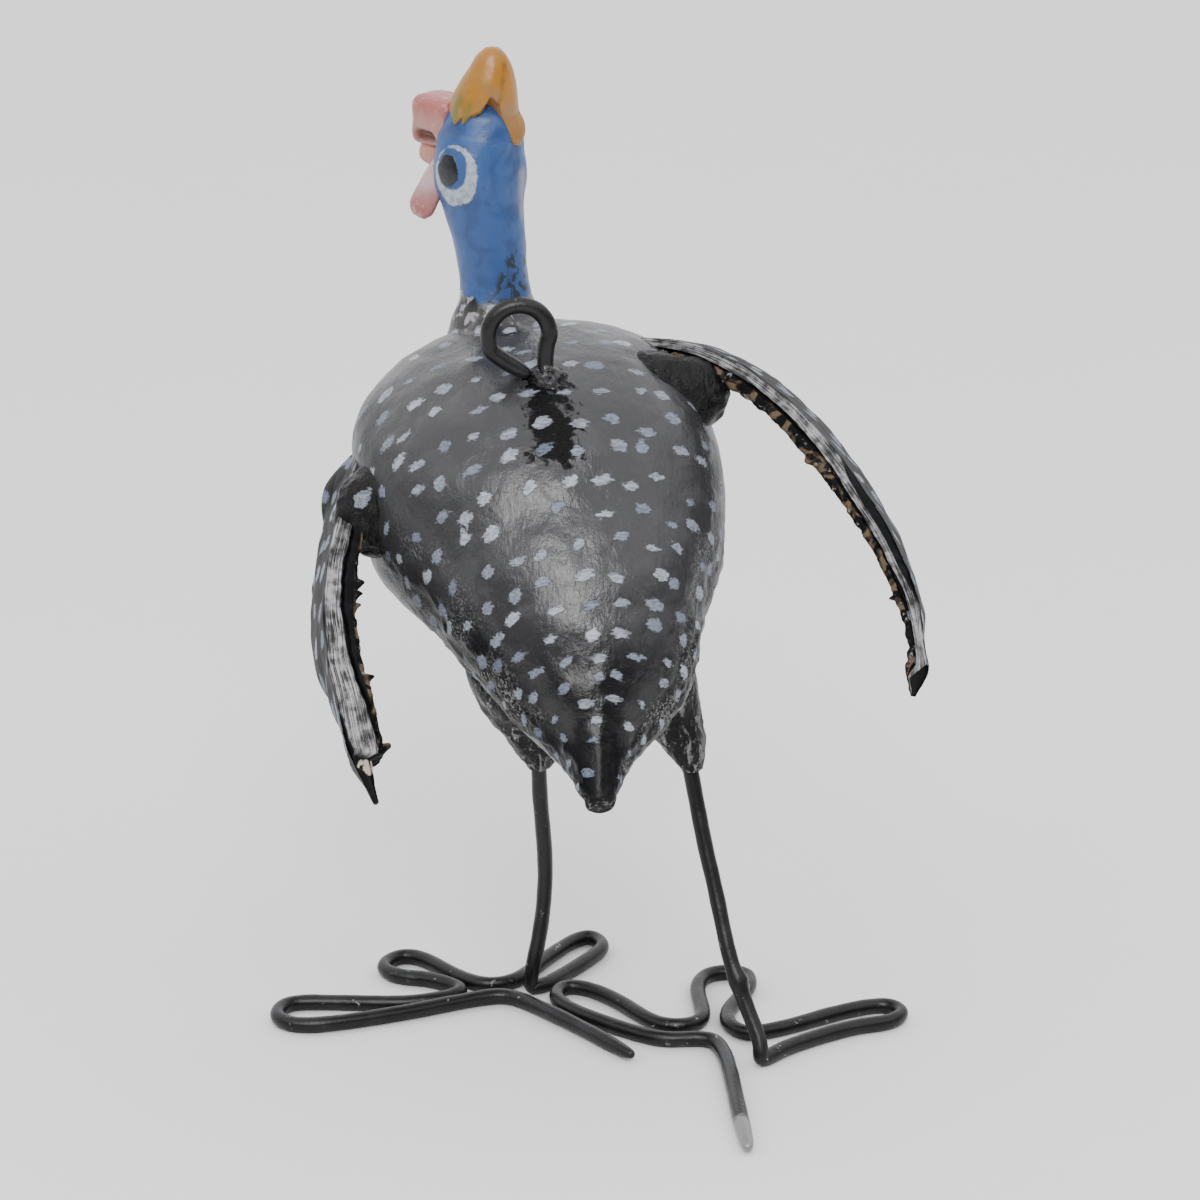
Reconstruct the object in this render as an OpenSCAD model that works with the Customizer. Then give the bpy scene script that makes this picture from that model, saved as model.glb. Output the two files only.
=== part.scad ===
// Hanging guinea fowl figure: painted paper pulp over a wire armature, standing on wire feet.
// Millimetres, +Z up. The bird faces -Y and its left side is +X.
// The origin is on the ground, under the middle of the figure.

/* [Wire] */
// Diameter of the wire in the legs, feet, spine and hanging eye
wire_d = 2.5; // [2:0.1:2.8]
// Diameter of the thin wire inside each wing
wing_wire_d = 1.6; // [1:0.1:2]

/* [Body] */
// Widest half width of the body
body_half_w = 28.5; // [24:0.5:32]
// Largest half depth of the body, square to its slope
body_half_h = 23; // [19:0.5:26]
// Thickness of the pulp skin over the wadded core
skin_t = 2.6; // [2:0.1:4]
// Sideways lean of the body towards the bird's left, in degrees
body_lean = 4; // [0:1:12]

/* [Neck and head] */
// Radius of the neck at its narrowest
neck_r = 5.6; // [4.5:0.1:6.5]
// Radius of the head across the cheeks
head_r = 7; // [6:0.1:8]
// Turn of the head towards the bird's left, in degrees
head_turn = 40; // [0:5:60]
// Length from the neck's axis to the beak's tip
beak_reach = 11.5; // [10:0.5:15]
// Length of each wattle
wattle_len = 7.5; // [6:0.5:12]

/* [Wings] */
// Widest chord of a wing
wing_chord = 24; // [16:1:28]
// Thickness of a wing along its ragged rear edge
wing_t = 4; // [3.2:0.1:5]

/* [Hanging eye] */
// Clear width inside the hanging eye
eye_w = 6.9; // [5.5:0.1:8]

/* [Hidden] */

wire_r = wire_d / 2;
wing_wire_r = wing_wire_d / 2;
wire_sides = 8;
form_sides = 32;
head_sides = 24;
lobe_sides = 18;

// The body leans about this point, which lies on its middle plane
lean_x = 4.5;
lean_z = 75;
// Moves every shape so that the origin is under the middle of the figure
shift = [-0.3, 2.65, 0];
// The rings at each end of the body that the core leaves out
core_front_gap = 3;
core_tail_gap = 7;
// The cut ends of a wire are this part of its radius
wire_end = 0.7;
// A direction that no wire runs along, from which each wire's rings are set out
wire_start_dir = [0.31, 0.2, 0.93];

// Body stations from breast to tail: y, z, half width, half depth, roundness, sideways bow
body_stations = [
    [-43.5, 93.5, 4, 4, 2, 1.2],
    [-41.5, 93, 14, 11, 2.2, 1.2],
    [-37.5, 92.5, 22, 16, 2.4, 1.2],
    [-30.5, 91, 27.3, 19.4, 2.5, 1.1],
    [-22, 87.6, body_half_w, body_half_h - 1, 2.5, 0.9],
    [-12, 82.2, body_half_w - 0.8, body_half_h - 0.4, 2.4, 0.4],
    [-2.5, 75.9, body_half_w - 5, body_half_h - 4.2, 2.3, -0.9],
    [6, 69.1, 18.2, 15.5, 2.2, -1.6],
    [13.5, 62.7, 14.2, 11.9, 2.1, -2.3],
    [18, 59.2, 9.4, 9.2, 2, -1.8],
    [21.5, 56.9, 5.5, 6.8, 2, -0.9],
    [26.5, 53.9, 3.1, 3.4, 2, -0.1],
    [29.6, 52.1, 1.8, 1.8, 2, 0.3]
];

// Neck and head stations: x, y, z, radius
neck_stations = [
    [10, -30, 99, neck_r + 6],
    [10.4, -33, 104, neck_r + 4.6],
    [10.8, -34.6, 108.5, neck_r + 2],
    [11, -35.2, 113.5, neck_r],
    [11.7, -36, 121.3, neck_r + 0.1],
    [12.5, -36.7, 126.5, neck_r + 0.7]
];
head_stations = [
    [12.5, -36.7, 126.5, neck_r + 0.7],
    [12.8, -37.5, 130.5, head_r - 0.1],
    [12.9, -38, 134.5, head_r],
    [12.5, -38, 138.5, head_r - 0.5],
    [12.3, -37.6, 141.7, head_r - 1.9],
    [12.1, -37.4, 144, head_r - 4.6]
];
casque_stations = [
    [12.3, -37.2, 139.5, 5.3],
    [12.2, -37, 143.3, 5],
    [11.7, -36.4, 146.6, 4.3],
    [11.2, -35.7, 149.8, 3.1],
    [11.1, -35.4, 151.6, 1.5]
];
head_centre = [12.9, -37.8, 135];

// Beak stations in the head's own frame: forward, up, half width, half height
upper_beak_stations = [[4, 4, 4.4, 4], [8, 4.2, 3.9, 4], [beak_reach - 1.6, 3.9, 3.3, 3.9],
                       [beak_reach, 3, 2.4, 3.2], [beak_reach + 0.6, 2.4, 1.2, 1.9]];
lower_beak_stations = [[4, -1.6, 3.6, 1.9], [8, -1.4, 3.3, 2], [beak_reach - 1.6, -1.4, 2.8, 1.9],
                       [beak_reach - 0.1, -1.3, 1.5, 1.1]];
// The left wattle in the head's own frame: forward, to the side, up, radius
wattle_stations = [[5.2, 2.7, -2.4, 2.2], [6.3, 5, -2.4 - wattle_len * 0.5, 2.7],
                   [7.2, 6.5, -2.4 - wattle_len, 2.2]];
wattle_flat = 0.5;

// Route of the armature wire from the head down into the tail
spine_route = [[12.4, -37.4, 141], [13, -37.4, 132], [12, -36, 121], [11.2, -34, 110],
               [9.5, -26, 97], [7, -12, 84], [4.5, 2, 69], [3, 12, 58]];

// Leg routes from the foot up into the core
left_leg_route = [[8.3, -15.4, 4.2], [6.9, -12.5, 14.7], [6.6, -10, 26.3], [7.7, -8, 37.5],
                  [8, -7, 46], [8.6, -7.4, 56], [9.2, -8.5, 66]];
right_leg_route = [[-24.1, 14.2, 3.6], [-22.8, 11.6, 7.5], [-20.3, 7.5, 15.1], [-19, 3, 23.5],
                   [-17.4, -1, 32.1], [-16.2, -4, 40], [-14.6, -6.5, 49], [-11.5, -8.5, 58],
                   [-8, -9.5, 66]];

// Feet in plan: from the cut hind toe round three looped toes to the foot of the leg
left_foot_route = [
    [-4.4, 10.8], [2.5, -0.5], [7, -7], [11, -12.2], [14.5, -13.6], [20, -12.4], [28, -10], [36.5, -8],
    [44, -7], [48.4, -8.2], [49.9, -11.7], [48, -15.2], [43.5, -15.4], [36, -14], [28, -13],
    [22, -14.2], [19.7, -16.4], [21.5, -19.2], [25.5, -21.8], [29.5, -23.3], [31.5, -27],
    [29, -30.5], [25.3, -30], [21.7, -25], [18.2, -19.9], [15, -18], [11.5, -18.4], [8.6, -21],
    [4.5, -26.6], [-0.5, -32.5], [-4, -34], [-5.5, -30.2], [-3, -26], [2, -20.6], [5.8, -16.8],
    [8.4, -16]
];
right_foot_route = [
    [-17, 44], [-17.7, 31.5], [-18.4, 22], [-18.8, 13], [-18, 7.6], [-15, 6.2], [-11, 6],
    [-7.5, 4.2], [-3.2, 0.2], [1, -4.4], [4, -8.6], [4.7, -12.2], [3.3, -15], [0.5, -15],
    [-3.1, -11.7], [-6.2, -6.5], [-9, -1.2], [-11.8, 1.2], [-15, 1.3], [-17.3, -0.7], [-18, -5.2],
    [-18.3, -11.4], [-19.8, -15.6], [-22.3, -17.2], [-25.4, -17], [-27.3, -15.2], [-26.8, -11.5],
    [-24.3, -7], [-22, -3], [-21.2, 0.6], [-22, 4], [-24.6, 5.6], [-30, 4.2], [-36.3, 1.4],
    [-42.5, -0.9], [-47.3, -1.5], [-49.5, 1.5], [-46.8, 4.6], [-41.3, 5.5], [-35, 8],
    [-28.8, 11.4], [-25.6, 14], [-24, 15]
];

// Wing stations along the rear edge: x, y, z, chord as a part of the widest, thickness part
left_wing = [
    [29, -25, 93, 0.5, 0.8], [32.8, -19, 91, 0.72, 1], [36.3, -9, 85.3, 0.95, 1.1],
    [38.5, -2, 79, 1, 1.2], [39.3, 5, 73.4, 0.88, 1.25], [38.8, 12, 67.8, 0.7, 1.3],
    [38, 17, 63.4, 0.54, 1.35], [37.1, 20.8, 58.8, 0.34, 1.1], [36, 25, 52.6, 0.06, 0.25]
];
right_wing = [
    [-9, -26, 106, 0.5, 0.7], [-16.5, -20, 106.4, 0.7, 0.9], [-22.5, -13, 105, 0.85, 1],
    [-28.4, -7, 101.6, 0.95, 1], [-33, -1, 97.4, 1, 1.05], [-37.8, 6, 91.6, 0.95, 1],
    [-42, 12, 85, 0.8, 0.95], [-44.8, 18, 77.3, 0.55, 0.85], [-45.6, 22, 71, 0.3, 0.65],
    [-44.6, 25, 65.2, 0.06, 0.2]
];
// Direction from a wing's rear edge to its front edge
left_chord_dir = [0.03, -0.95, -0.31];
right_chord_dir = [-0.25, -0.93, -0.26];
// The wing wires: their ends inside the body, and how far forward in the chord they lie
left_wire_root = [[17, -20, 90], [26, -22, 91]];
right_wire_root = [[1, -24, 99], [-6, -24, 103]];
wing_wire_part = 0.3;

// The hanging eye: its middle, the top of its straight shank, and the shank's end inside the core
eye_centre = [10.3, -10, 113.3];
eye_root = [6.2, -10.5, 105];
eye_bottom = [5.2, -12, 93];
eye_turn_pts = 9;
// The turn starts beside the shank, and runs through this angle
eye_turn_start = -28;
eye_turn = 246;
// Where the free end stops beside the shank, measured from the eye's middle
eye_free_end = [-1.4, 0.3, -6.3];
eye_sides = 10;
// Glue round the foot of the eye: x, y, z, radius
glue_stations = [[5.8, -9.4, 102, 3.4], [6.1, -9.8, 105, 3.2], [6.2, -10.2, 107, 2.3],
                 [6.2, -10.4, 108.4, 1.5]];

// Pulp that joins each wing to the body: x, y, z, upright radius
root_depth = 0.75;
left_root_stations = [[27, -13, 86, 8], [31, -13, 85.5, 7.8], [34.5, -12.5, 85, 7], [37.6, -12, 84.5, 4.6]];
right_root_stations = [[-8, -18, 96, 10], [-15, -17.5, 96.5, 9.5], [-19.5, -17, 97, 8.6],
                       [-22.6, -16.5, 97.5, 6]];

// Thighs: x, y, z, radius, from inside the body down to the wire
left_thigh_stations = [[9.5, -9, 63, 10.5], [9.2, -8.2, 56, 8.6], [8.6, -7.5, 50, 5],
                       [8.1, -7, 45.5, 2.7], [8, -7, 43.6, 1.6]];
right_thigh_stations = [[-7, -9, 64, 9], [-10, -8.4, 57, 7.4], [-13.2, -7.2, 51, 4.8],
                        [-15.4, -5.4, 45.5, 2.8], [-16, -4.6, 42.6, 1.6]];

function unit(v) = v / norm(v);

function spline_at(a, b, c, d, t) =
    0.5 * (2 * b + (c - a) * t + (2 * a - 5 * b + 4 * c - d) * t * t
           + (3 * b - a - 3 * c + d) * t * t * t);

// A smooth curve through points of any dimension, with a number of steps per span
function smooth(pts, steps) =
    let (last = len(pts) - 1)
    concat(
        [for (i = [0 : last - 1], k = [0 : steps - 1])
            spline_at(pts[max(i - 1, 0)], pts[i], pts[i + 1], pts[min(i + 2, last)], k / steps)],
        [pts[last]]
    );

function tangent(path, i) = unit(path[min(i + 1, len(path) - 1)] - path[max(i - 1, 0)]);

function square_to(v, t) = unit(v - (v * t) * t);

// One sideways vector for each point of a path, carried along without twist
function carried(path, start) = [
    for (i = 0, n = square_to(start, tangent(path, 0));
         i < len(path);
         i = i + 1, n = i < len(path) ? square_to(n, tangent(path, i)) : n)
        n
];

// A closed ring of points: half sizes a and b along unit vectors u and v
function ring(centre, u, v, a, b, sides, power = 2) = [
    for (k = [0 : sides - 1])
        let (c = cos(360 * k / sides), s = sin(360 * k / sides))
        centre + u * a * sign(c) * pow(abs(c), 2 / power) + v * b * sign(s) * pow(abs(s), 2 / power)
];

// A closed solid through rings of equal length
module skin(rings) {
    n = len(rings[0]);
    last = len(rings) - 1;
    first_mid = [for (k = [0 : n - 1]) 1] * rings[0] / n;
    last_mid = [for (k = [0 : n - 1]) 1] * rings[last] / n;
    points = concat([for (r = rings) each r], [first_mid, last_mid]);
    walls = [
        for (i = [0 : last - 1], k = [0 : n - 1])
            let (a = i * n + k, b = i * n + (k + 1) % n)
            each [[a, b + n, b], [a, a + n, b + n]]
    ];
    caps = [
        for (k = [0 : n - 1])
            let (m = (k + 1) % n)
            each [[(last + 1) * n, k, m], [(last + 1) * n + 1, last * n + m, last * n + k]]
    ];
    translate(shift) polyhedron(points, concat(walls, caps), convexity = 8);
}

// A round wire along a path, with its ends cut to a blunt point
module wire(path, r, sides = wire_sides) {
    n = carried(path, wire_start_dir);
    last = len(path) - 1;
    skin([
        for (i = [0 : last])
            let (t = tangent(path, i), b = cross(t, n[i]), size = i == 0 || i == last ? r * wire_end : r)
            ring(path[i], n[i], b, size, size, sides)
    ]);
}

// A lump through stations of x, y, z, radius; its second radius is a part of the first
module lump(stations, sides, steps = 3, flat = 1, across = [1, 0, 0]) {
    path = smooth(stations, steps);
    axis = [for (p = path) [p.x, p.y, p.z]];
    n = carried(axis, across);
    skin([
        for (i = [0 : len(path) - 1])
            let (b = cross(tangent(axis, i), n[i]))
            ring(axis[i], n[i], b, path[i][3], path[i][3] * flat, sides)
    ]);
}

// Turns a point of the upright body into the leaning body
function leaned(p) = [
    lean_x + p.x * cos(body_lean) + (p.z - lean_z) * sin(body_lean),
    p.y,
    lean_z - p.x * sin(body_lean) + (p.z - lean_z) * cos(body_lean)
];

// The body's outer form, drawn in by an inset
module body_form(inset = 0) {
    path = smooth(body_stations, 2);
    last = len(path) - 1;
    first = inset > 0 ? core_front_gap : 0;
    end = inset > 0 ? last - core_tail_gap : last;
    skin([
        for (i = [first : end])
            let (
                q = path[i],
                t = unit([0, path[min(i + 1, last)].x - path[max(i - 1, 0)].x,
                             path[min(i + 1, last)].y - path[max(i - 1, 0)].y]),
                up = cross(t, [1, 0, 0]),
                r = ring([q[5], q.x, q.y], [1, 0, 0], up, q[2] - inset, q[3] - inset, form_sides, q[4])
            )
            [for (p = r) leaned(p)]
    ]);
}

module neck_form() lump(neck_stations, form_sides, 2);

module head_form() lump(head_stations, head_sides, 3);

// One wire from the hind toe round the foot and up the leg
function leg_and_foot(foot, leg) = [
    for (p = smooth(concat([for (q = foot) [q.x, q.y, wire_r]], leg), 2))
        [p.x, p.y, max(p.z, wire_r)]
];

module left_leg_form() wire(leg_and_foot(left_foot_route, left_leg_route), wire_r);
module right_leg_form() wire(leg_and_foot(right_foot_route, right_leg_route), wire_r);
module spine_form() wire(smooth(spine_route, 3), wire_r);

// A wing: flat rounded sections, each running from the rear edge to the front edge
module wing_form(stations, chord_dir) {
    path = smooth(stations, 3);
    edge = [for (p = path) [p.x, p.y, p.z]];
    skin([
        for (i = [0 : len(path) - 1])
            let (
                u = square_to(chord_dir, tangent(edge, i)),
                v = unit(cross(tangent(edge, i), u)),
                half = wing_chord * path[i][3] / 2
            )
            ring(edge[i] + u * half, u, v, half, wing_t / 2 * path[i][4], lobe_sides, 2.6)
    ]);
}

module left_wing_form() wing_form(left_wing, left_chord_dir);
module right_wing_form() wing_form(right_wing, right_chord_dir);

// A point inside a wing, a part of the chord forward of station i
function wing_point(stations, chord_dir, i) =
    [stations[i].x, stations[i].y, stations[i].z]
    + unit(chord_dir) * wing_chord * stations[i][3] * wing_wire_part;

module wing_wire_form(root, stations, chord_dir, last)
    wire(smooth(concat(root, [for (i = [1 : last]) wing_point(stations, chord_dir, i)]), 3), wing_wire_r);

module left_wing_wire_form() wing_wire_form(left_wire_root, left_wing, left_chord_dir, 4);
module right_wing_wire_form() wing_wire_form(right_wire_root, right_wing, right_chord_dir, 5);

// The eye's wire: shank up from the core, once round, and a free end beside the foot of the shank
function eye_route() =
    let (r = eye_w / 2 + wire_r)
    concat(
        [eye_bottom, eye_root],
        [for (k = [0 : eye_turn_pts])
            let (a = eye_turn_start + eye_turn * k / eye_turn_pts)
            eye_centre + [-r * cos(a), 0, r * sin(a)]],
        [eye_centre + eye_free_end]
    );

module eye_form() wire(smooth(eye_route(), 3), wire_r, eye_sides);

module pulp_color() color([0.12, 0.12, 0.13]) children();

module body_skin() pulp_color() difference() {
    body_form();
    body_form(skin_t);
    spine_form();
    left_leg_form();
    right_leg_form();
    left_wing_wire_form();
    right_wing_wire_form();
    eye_form();
}

module body_core() color([0.78, 0.75, 0.68]) difference() {
    body_form(skin_t);
    spine_form();
    left_leg_form();
    right_leg_form();
    left_wing_wire_form();
    right_wing_wire_form();
    eye_form();
}

module neck_skin() color([0.31, 0.5, 0.74]) difference() {
    neck_form();
    body_form();
    spine_form();
}

module head() color([0.31, 0.5, 0.74]) difference() {
    head_form();
    spine_form();
}

module casque() color([0.82, 0.58, 0.2]) difference() {
    lump(casque_stations, lobe_sides);
    head_form();
}

// A vector in the head's own frame: forward along the beak, to its left, up
function head_point(forward, left, up) =
    head_centre + [
        forward * sin(head_turn) + left * cos(head_turn),
        -forward * cos(head_turn) + left * sin(head_turn),
        up
    ];

module beak_form(stations) {
    path = smooth(stations, 2);
    skin([
        for (q = path)
            ring(head_point(q.x, 0, q.y), head_point(0, 1, 0) - head_centre, [0, 0, 1],
                 q[2], q[3], lobe_sides, 2.6)
    ]);
}

module upper_beak() color([0.85, 0.55, 0.53]) difference() {
    beak_form(upper_beak_stations);
    head_form();
    lump(casque_stations, lobe_sides);
}

module lower_beak() color([0.88, 0.64, 0.6]) difference() {
    beak_form(lower_beak_stations);
    beak_form(upper_beak_stations);
    head_form();
}

module wattle_form(side)
    lump([for (q = wattle_stations) let (p = head_point(q.x, side * q.y, q.z)) [p.x, p.y, p.z, q[3]]],
         lobe_sides, 3, wattle_flat, head_point(1, 0, 0) - head_centre);

module wattle(side) color([0.86, 0.55, 0.56]) difference() {
    wattle_form(side);
    head_form();
    neck_form();
    beak_form(lower_beak_stations);
}

module wattle_left() wattle(1);
module wattle_right() wattle(-1);

module spine_wire() color("gray") spine_form();

module wing_left() pulp_color() difference() {
    left_wing_form();
    body_form();
    left_wing_wire_form();
}

module wing_right() pulp_color() difference() {
    right_wing_form();
    body_form();
    right_wing_wire_form();
}

module wing_root(stations) pulp_color() difference() {
    lump(stations, lobe_sides, 2, root_depth, [0, 0, 1]);
    body_form();
    left_wing_form();
    right_wing_form();
    left_wing_wire_form();
    right_wing_wire_form();
}

module wing_root_left() wing_root(left_root_stations);
module wing_root_right() wing_root(right_root_stations);

module wing_wire_left() color("gray") left_wing_wire_form();
module wing_wire_right() color("gray") right_wing_wire_form();

module thigh_left() pulp_color() difference() {
    lump(left_thigh_stations, lobe_sides, 2);
    body_form();
    left_leg_form();
}

module thigh_right() pulp_color() difference() {
    lump(right_thigh_stations, lobe_sides, 2);
    body_form();
    right_leg_form();
}

module leg_wire_left() color([0.16, 0.16, 0.17]) left_leg_form();
module leg_wire_right() color([0.16, 0.16, 0.17]) right_leg_form();
module hanging_eye() color([0.08, 0.08, 0.09]) eye_form();

module eye_glue() color([0.04, 0.04, 0.05]) difference() {
    lump(glue_stations, lobe_sides, 2);
    body_form();
    eye_form();
}

body_skin();
body_core();
neck_skin();
head();
casque();
upper_beak();
lower_beak();
wattle_left();
wattle_right();
spine_wire();
wing_left();
wing_right();
wing_root_left();
wing_root_right();
wing_wire_left();
wing_wire_right();
thigh_left();
thigh_right();
leg_wire_left();
leg_wire_right();
hanging_eye();
eye_glue();
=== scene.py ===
# Looks for the hanging guinea fowl figure: painted paper pulp, wire feet and a wire hanging eye.
# Shapes are worked out in millimetres, in the same frame as the CAD tables below, and the finished
# points are moved by SHIFT and scaled to metres when a mesh is made.

import itertools
import math

import bmesh
import bpy
import numpy as np
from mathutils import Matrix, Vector
from mathutils.bvhtree import BVHTree
from mathutils.kdtree import KDTree


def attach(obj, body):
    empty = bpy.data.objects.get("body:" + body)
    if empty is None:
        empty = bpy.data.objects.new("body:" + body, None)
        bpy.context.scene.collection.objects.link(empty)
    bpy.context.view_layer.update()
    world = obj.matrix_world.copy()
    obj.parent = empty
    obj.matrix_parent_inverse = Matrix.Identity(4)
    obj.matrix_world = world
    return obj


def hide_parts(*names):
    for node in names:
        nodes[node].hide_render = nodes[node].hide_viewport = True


MM = 0.001
SHIFT = np.array([-0.3, 2.65, 0.0])

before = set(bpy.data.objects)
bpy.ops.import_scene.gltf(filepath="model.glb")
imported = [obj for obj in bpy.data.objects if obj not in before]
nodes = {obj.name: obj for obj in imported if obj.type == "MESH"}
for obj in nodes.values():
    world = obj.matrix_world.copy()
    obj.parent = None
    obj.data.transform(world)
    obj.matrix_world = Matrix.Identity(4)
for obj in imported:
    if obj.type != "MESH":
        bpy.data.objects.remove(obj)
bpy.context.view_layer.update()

# ---------------------------------------------------------------- sizes, as in the CAD

LEAN = math.radians(4)
LEAN_POINT = (4.5, 75)
# Body from breast to tail: y, z, half width, half depth, roundness, sideways bow
BODY = [
    [-43.5, 93.5, 4, 4, 2, 1.2], [-41.5, 93, 14, 11, 2.2, 1.2], [-37.5, 92.5, 22, 16, 2.4, 1.2],
    [-30.5, 91, 27.3, 19.4, 2.5, 1.1], [-22, 87.6, 28.5, 22, 2.5, 0.9], [-12, 82.2, 27.7, 22.6, 2.4, 0.4],
    [-2.5, 75.9, 23.5, 18.8, 2.3, -0.9], [6, 69.1, 18.2, 15.5, 2.2, -1.6], [13.5, 62.7, 14.2, 11.9, 2, -2.3],
    [18, 59.2, 9.4, 9.2, 1.8, -1.8], [21.5, 56.9, 5.5, 6.8, 1.7, -0.9], [26.5, 53.9, 3.1, 3.4, 1.8, -0.1],
    [29.6, 52.1, 1.8, 1.8, 2, 0.3],
]
# Neck and head: x, y, z, radius
NECK = [
    [9.6, -27, 94, 13.4], [10, -30, 99, 11.6], [10.4, -33, 104, 10.2], [10.8, -34.6, 108.5, 7.6],
    [11, -35.2, 113.5, 5.6], [11.7, -36, 121.3, 5.7], [12.5, -36.7, 126.5, 6.3],
]
HEAD = [
    [12.5, -36.7, 126.5, 6.3], [12.8, -37.5, 130.5, 6.9], [12.9, -38, 134.5, 7], [12.5, -38, 138.5, 6.5],
    [12.3, -37.6, 141.7, 5.1], [12.1, -37.4, 144, 2.4],
]
CASQUE = [
    [12.3, -37.2, 139.5, 5.3], [12.2, -37, 143.3, 5], [11.7, -36.4, 146.6, 4.15], [11.3, -35.9, 148.9, 3.25],
    [11.2, -35.6, 150.6, 2.4], [11.1, -35.4, 151.7, 1.5],
]
# Lower edge of the casque's paint: angle round the head in degrees, height
CASQUE_EDGE = [
    [0, 141.4], [25, 140.8], [34, 139.9], [42, 141.2], [50, 140.4], [62, 141.8], [77, 142.4], [91, 144.8],
    [110, 143.6], [120, 140.6], [130, 137], [146, 136.4], [158, 137.4], [172, 140.4], [200, 141.6],
    [240, 141], [300, 141.8], [340, 140.8], [360, 141.4],
]
HEAD_CENTRE = np.array([12.9, -37.8, 135])
HEAD_TURN = math.radians(40)
# Beak, in the head's frame: forward, up, half width, half height
UPPER_BEAK = [
    [3.5, 4, 4.5, 4.1], [8, 4.1, 4, 4.1], [10.6, 4.1, 3.6, 4], [11.8, 4, 3, 3.6], [12.3, 3.8, 1.9, 2.4],
]
LOWER_BEAK = [[3.5, -1.6, 3.6, 1.9], [8, -1.5, 3.3, 2], [10.4, -1.2, 2.8, 1.9], [11.6, -0.8, 1.5, 1.1]]
# Left wattle, in the head's frame: forward, sideways, up, radius
WATTLE = [[5.2, 2.7, -2, 2.2], [6, 4.6, -5.4, 2.6], [6.9, 6.1, -8.8, 2.7], [7.2, 6.6, -10.2, 1.5]]

# Wings along the rear edge: x, y, z, chord, thickness
LEFT_WING = [
    [29, -25, 93, 12, 3.2], [32.8, -19, 91, 17.3, 4], [36.3, -9, 85.3, 22.8, 4.4], [38.5, -2, 79, 24, 4.8],
    [39.3, 5, 73.4, 21.1, 5], [38.8, 12, 67.8, 16.8, 5.2], [38, 17, 63.4, 13, 5.4],
    [37.1, 20.8, 58.8, 9.5, 5], [36, 25, 52.6, 1.2, 0.9],
]
RIGHT_WING = [
    [-9, -26, 106, 12, 2.8], [-16.5, -20, 106.4, 16.8, 3.6], [-22.5, -13, 105, 20.4, 4],
    [-28.4, -7, 101.6, 22.8, 4], [-33, -1, 97.4, 24, 4.2], [-37.8, 6, 91.6, 22.8, 4], [-42, 12, 85, 19.2, 3.8],
    [-44.8, 18, 77.3, 13.2, 3.4], [-45.6, 21.2, 72.4, 8, 2.2], [-45.4, 23.3, 68.6, 5, 3.4], [-44.6, 25, 65, 1.2, 0.6],
]
LEFT_CHORD = (0.03, -0.95, -0.31)
RIGHT_CHORD = (-0.25, -0.93, -0.26)
# Painted bands on a wing's thick rear edge, by the part of the way along the wing; the grey rim band is a
# painted highlight. Each number is a place between 1 at the outer face and -1 at the inner: the rim starts,
# the rim ends, the lip starts
LEFT_BANDS = [
    [0, 0.95, -0.1, -0.8], [0.45, 0.92, -0.15, -0.82], [0.65, 0.9, -0.4, -0.72], [0.85, 0.8, -0.6, -0.75],
]
RIGHT_BANDS = [
    [0, 0.96, 0.15, -0.08], [0.45, 0.94, 0.1, -0.12], [0.54, 0.3, -0.2, -0.36], [0.64, 0.35, -0.22, -0.4],
    [0.71, 0.92, -0.05, -0.25], [0.88, 0.85, -0.1, -0.3], [0.93, -0.6, -0.8, -0.95], [1, -0.6, -0.8, -0.95],
]

# Lumps of pulp and glue: x, y, z, radius
LEFT_ROOT = [
    [25, -13, 86, 8.4], [30, -13, 85.3, 7.8], [34.5, -12.5, 84.6, 6.8], [37.4, -12, 84.2, 4.4], [38.8, -12, 84, 1.6],
]
RIGHT_ROOT = [
    [-8, -18, 98, 9], [-14, -17, 99.6, 8.4], [-18, -16, 101, 6.4], [-21, -15.2, 102, 4], [-23, -15, 102.4, 1.4],
]
LEFT_THIGH = [[9.5, -9, 63, 10.5], [9.2, -8.2, 56, 8.6], [8.6, -7.5, 50, 5], [8.1, -7, 45.5, 2.7], [8, -7, 43.6, 1.6]]
RIGHT_THIGH = [
    [-7, -9, 64, 9], [-10, -8.4, 57, 7.4], [-13.2, -7.2, 51, 4.8], [-15.4, -5.4, 45.5, 2.8], [-16, -4.6, 42.6, 1.6],
]
GLUE = [[5.8, -9.4, 102, 3.6], [6.1, -9.8, 105, 3.2], [6.2, -10.2, 107, 2.4], [6.2, -10.4, 108.6, 1.5]]

# ---------------------------------------------------------------- curves and noise


def unit(v):
    return v / np.maximum(np.linalg.norm(v, axis=-1, keepdims=True), 1e-9)


def smooth(points, steps):
    """A smooth curve through points of any dimension, with this many steps per span."""
    p = np.asarray(points, float)
    p = np.vstack([p[:1], p, p[-1:]])
    t = np.arange(steps)[:, None] / steps
    spans = [
        0.5 * (2 * b + (c - a) * t + (2 * a - 5 * b + 4 * c - d) * t**2 + (3 * b - a - 3 * c + d) * t**3)
        for a, b, c, d in zip(p, p[1:], p[2:], p[3:])
    ]
    return np.vstack(spans + [p[-1:]])


def step(x, low, high):
    """Rises smoothly from 0 at low to 1 at high."""
    t = np.clip((x - low) / (high - low), 0, 1)
    return t * t * (3 - 2 * t)


LATTICE = np.random.default_rng(5).uniform(-1, 1, (24, 24, 24))


def noise(points, size, seed=0):
    """Smooth noise between -1 and 1 with lumps of about this size."""
    q = np.asarray(points) / size + seed * 7.31
    cell = np.floor(q).astype(int)
    f = q - cell
    f = f * f * (3 - 2 * f)
    total = np.zeros(q.shape[:-1])
    for corner in itertools.product((0, 1), repeat=3):
        weight = np.prod(np.where(corner, f, 1 - f), axis=-1)
        i, j, k = np.moveaxis((cell + corner) % len(LATTICE), -1, 0)
        total += weight * LATTICE[i, j, k]
    return total


def tangents(path):
    return unit(np.gradient(path, axis=0))


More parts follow.
